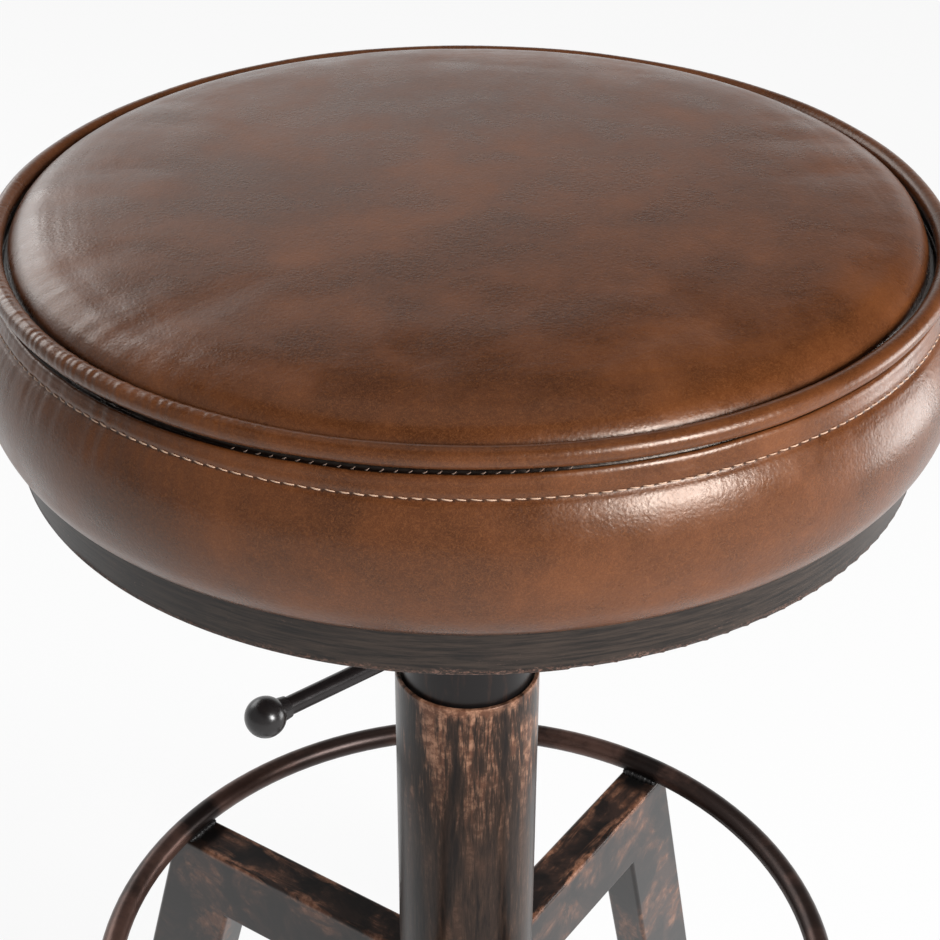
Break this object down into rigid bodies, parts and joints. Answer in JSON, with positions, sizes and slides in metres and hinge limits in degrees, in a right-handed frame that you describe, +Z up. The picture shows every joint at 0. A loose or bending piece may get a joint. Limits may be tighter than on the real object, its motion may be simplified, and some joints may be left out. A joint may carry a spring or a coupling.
{
  "type": "height-adjustable swivel stool",
  "caption": "Round upholstered swivel stool with a steel seat pan, gas-lift column, height lever, splayed tube legs and a footrest ring.",
  "frame": {"origin": "on the floor, on the column's axis", "axes": "+Z up along the column; the four legs stand on the diagonals between +X and +Y; the height lever points to the left and front, towards -X and -Y"},
  "size_m": [0.3572, 0.3572, 0.6397],
  "materials": {
    "leather": "mottled two-tone brown leather with a fine grain",
    "foam": "open-cell foam",
    "plywood": "bare plywood",
    "pan_black": "brushed black with worn copper edges",
    "column_bronze": "vertical brushed black and copper",
    "post_bronze": "dark bronze",
    "frame_bronze": "dark bronze with worn copper edges",
    "ring_bronze": "dark bronze, satin",
    "frame_black": "satin black",
    "steel_black": "smooth black",
    "steel": "zinc-plated steel",
    "brass_cage": "stamped brass",
    "lever_black": "satin black",
    "knob_black": "moulded black",
    "nylon": "natural nylon",
    "glide_black": "moulded black"
  },
  "bodies": {
    "base": {"column_tube": "column_bronze", "column_floor": "frame_black", "guide_bush": "nylon", "spoke_1": "frame_bronze", "spoke_2": "frame_bronze", "spoke_3": "frame_bronze", "spoke_4": "frame_bronze", "leg_1": "frame_bronze", "leg_2": "frame_bronze", "leg_3": "frame_bronze", "leg_4": "frame_bronze", "foot_glide_1": "glide_black", "foot_glide_2": "glide_black", "foot_glide_3": "glide_black", "foot_glide_4": "glide_black", "footrest_ring": "ring_bronze", "lift_outer_tube": "steel_black", "lift_guide_sleeve": "nylon", "thrust_washer_lower": "steel", "ball_cage": "brass_cage", "thrust_balls": "steel"},
    "swivel_rod": {"piston_rod": "steel", "piston": "nylon", "thrust_washer_upper": "steel", "end_washer": "steel", "retaining_clip": "steel"},
    "seat": {"gas_cylinder": "steel_black", "cylinder_gland": "nylon", "seat_post": "post_bronze", "taper_socket": "frame_black", "lever_pivot_pin": "steel", "mounting_plate": "frame_black", "plate_bolts": "steel", "bolt_washers": "steel", "tee_nuts": "steel", "seat_pan": "pan_black", "seat_board": "plywood", "foam_core": "foam", "side_band": "leather", "top_panel": "leather", "welt_piping": "leather"},
    "lever": {"lever_rod": "lever_black", "lever_ball": "knob_black"},
    "valve": {"valve_button": "steel"}
  },
  "joints": [
    {"name": "seat_swivel", "type": "hinge", "parent": "base", "child": "swivel_rod", "pos_m": [0, 0, 0.14], "axis": [0, 0, 1], "continuous": true},
    {"name": "seat_lift", "type": "slide", "parent": "swivel_rod", "child": "seat", "axis": [0, 0, 1], "range_m": [0, 0.2]},
    {"name": "lever_tilt", "type": "hinge", "parent": "seat", "child": "lever", "pos_m": [-0.01753, -0.00952, 0.447], "axis": [-0.4772, 0.8788, 0], "range_deg": [0, 8], "stiffness_Nm_per_rad": 2, "springref_deg": -8.59},
    {"name": "button_press", "type": "slide", "parent": "seat", "child": "valve", "axis": [0, 0, -1], "range_m": [0, 0.0028]}
  ],
  "couplings": [
    {"joint": "button_press", "follows": "lever_tilt", "m_per_rad": 0.01995}
  ]
}
